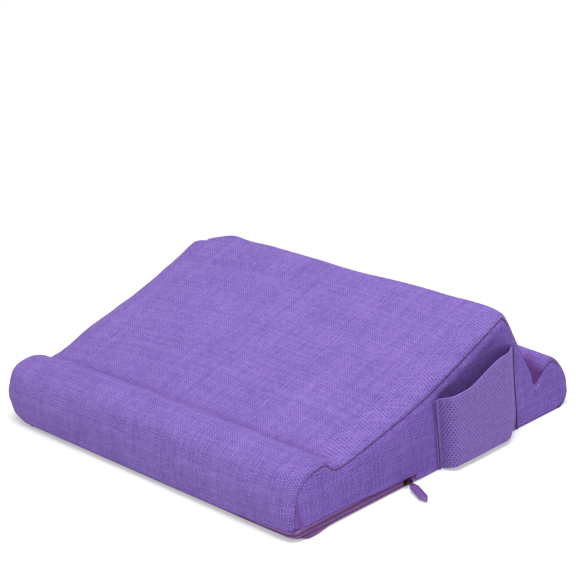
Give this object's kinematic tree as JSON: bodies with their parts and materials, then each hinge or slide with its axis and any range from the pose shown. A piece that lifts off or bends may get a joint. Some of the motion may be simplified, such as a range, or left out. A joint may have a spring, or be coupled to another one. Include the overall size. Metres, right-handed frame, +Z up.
{
  "type": "foam laptop stand",
  "caption": "Soft wedge-shaped laptop stand: foam in a sewn fabric cover with a front roll, a long slope, a rear groove, a mesh side pocket and a zip.",
  "frame": {"origin": "middle of the base, on the surface that the stand rests on", "axes": "+X the user's right, where the pocket is, +Y to the rear, where the slope is high, +Z up"},
  "size_m": [0.429, 0.3395, 0.115],
  "materials": {
    "linen": "matt linen-look weave",
    "mesh": "perforated knit",
    "tape": "woven zip tape",
    "teeth": "moulded",
    "metal": "dark, slightly shiny",
    "pull": "satin",
    "foam": "open-cell foam"
  },
  "bodies": {
    "cover": {"foam_core": "foam", "top_panel": "linen", "side_panel_left": "linen", "side_panel_right": "linen", "base_panel": "linen", "zip_end_fold": "linen", "zip_tape_upper": "tape", "zip_tape_lower": "tape", "zip_teeth": "teeth", "zip_stop_left": "metal", "zip_stop_rear": "metal", "pocket_mesh": "mesh", "pocket_hem": "mesh", "pocket_binding_front": "mesh", "pocket_binding_rear": "mesh"},
    "slider": {"zip_slider": "metal"},
    "pull_ring": {"zip_pull_ring": "metal"},
    "pull_tab": {"zip_pull_tab": "pull"}
  },
  "joints": [
    {"name": "slider_slide", "type": "slide", "parent": "cover", "child": "slider", "axis": [0, -1, 0], "range_m": [0, 0.105]},
    {"name": "ring_pivot", "type": "hinge", "parent": "slider", "child": "pull_ring", "pos_m": [0.2009, -0.04, 0.0046], "axis": [0, 0, 1], "range_deg": [-34, 76]},
    {"name": "tab_pivot", "type": "hinge", "parent": "pull_ring", "child": "pull_tab", "pos_m": [0.20762, -0.04258, 0.0046], "axis": [0, 0, 1], "range_deg": [-25, 25]}
  ]
}
